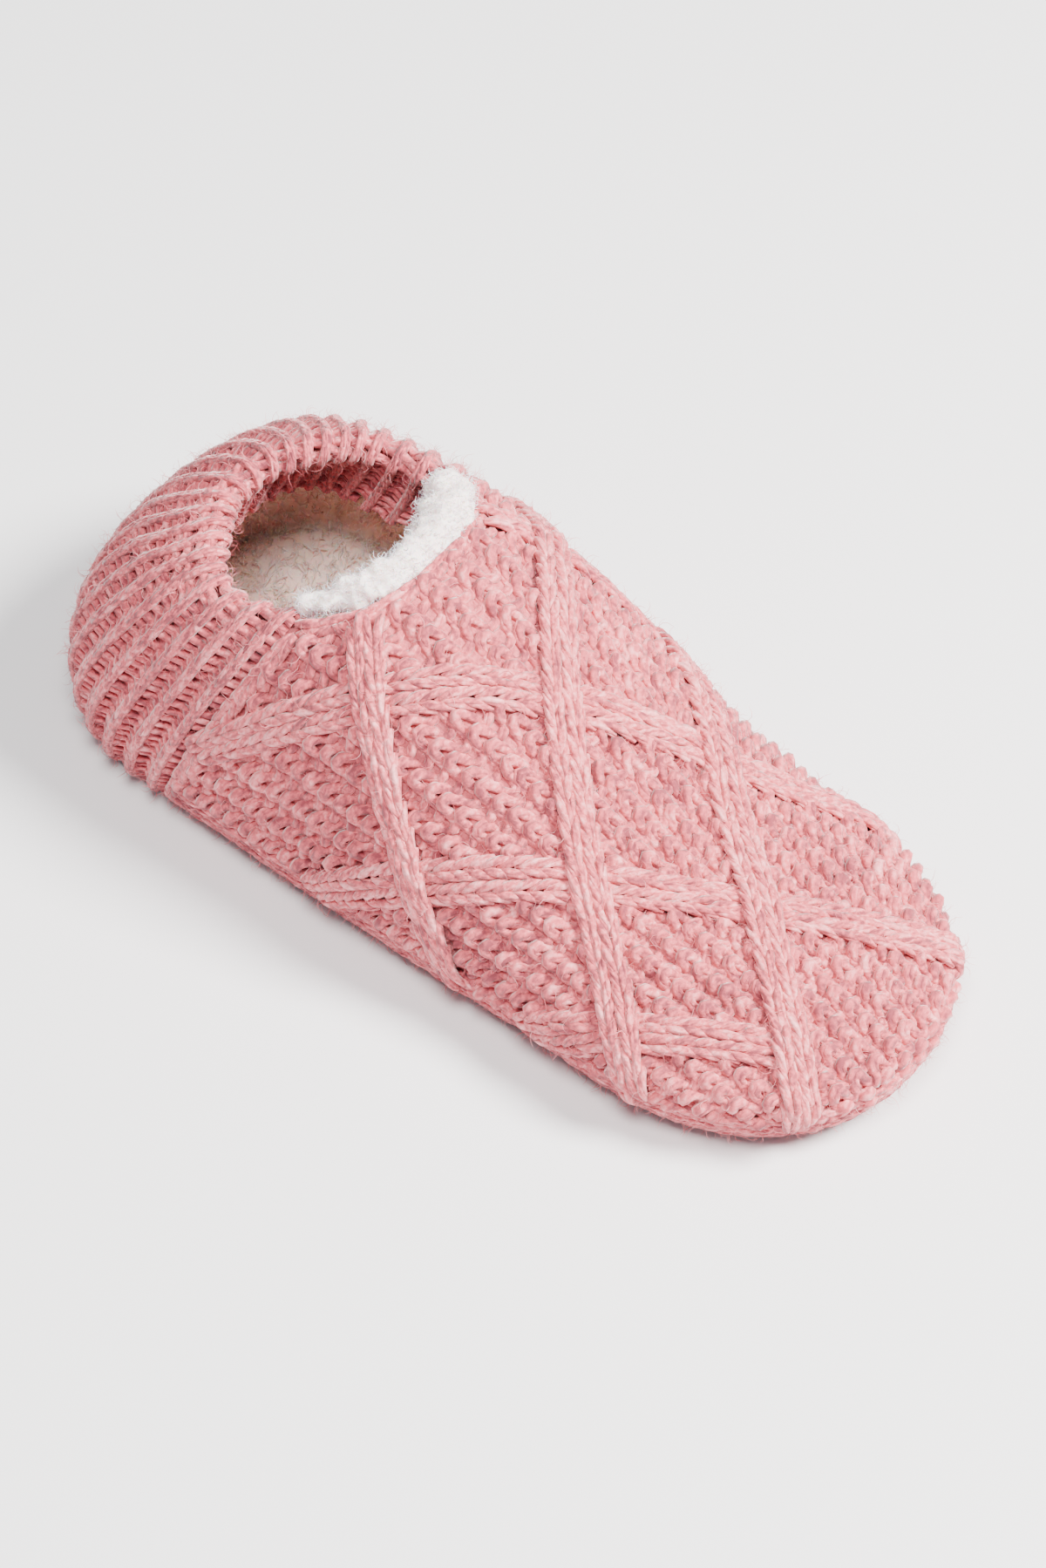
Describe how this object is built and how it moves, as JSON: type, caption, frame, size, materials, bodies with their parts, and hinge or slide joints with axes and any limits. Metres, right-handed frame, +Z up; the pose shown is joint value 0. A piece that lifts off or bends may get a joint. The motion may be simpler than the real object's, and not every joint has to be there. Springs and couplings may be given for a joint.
{
  "type": "slipper sock",
  "caption": "Chunky knitted slipper sock with a cable lattice front, a ribbed heel with a rolled collar, a fleece roll round the throat and a fleece insole on a thin soft sole.",
  "frame": {"origin": "centre of the outer box in plan, on the surface that the sole rests on", "axes": "+X towards the toe, +Y towards one side of the foot, +Z up; the shape is the same on both sides of the XZ plane"},
  "size_m": [0.2425, 0.1024, 0.0856],
  "materials": {
    "pink_yarn": "chunky marled yarn in dusty pink with paler fibres, matt, slightly fuzzy",
    "sole_yarn": "flat knit in the same pink yarn, matt",
    "seam_yarn": "chain of pink yarn round the sole's edge, matt",
    "lining_fleece": "cream curly pile, matt",
    "white_fleece": "white curly pile, matt, bright in the light"
  },
  "bodies": {
    "root": {"upper": "pink_yarn", "sole": "sole_yarn", "sole_seam": "seam_yarn", "insole": "lining_fleece", "throat_fleece": "white_fleece"}
  },
  "joints": []
}
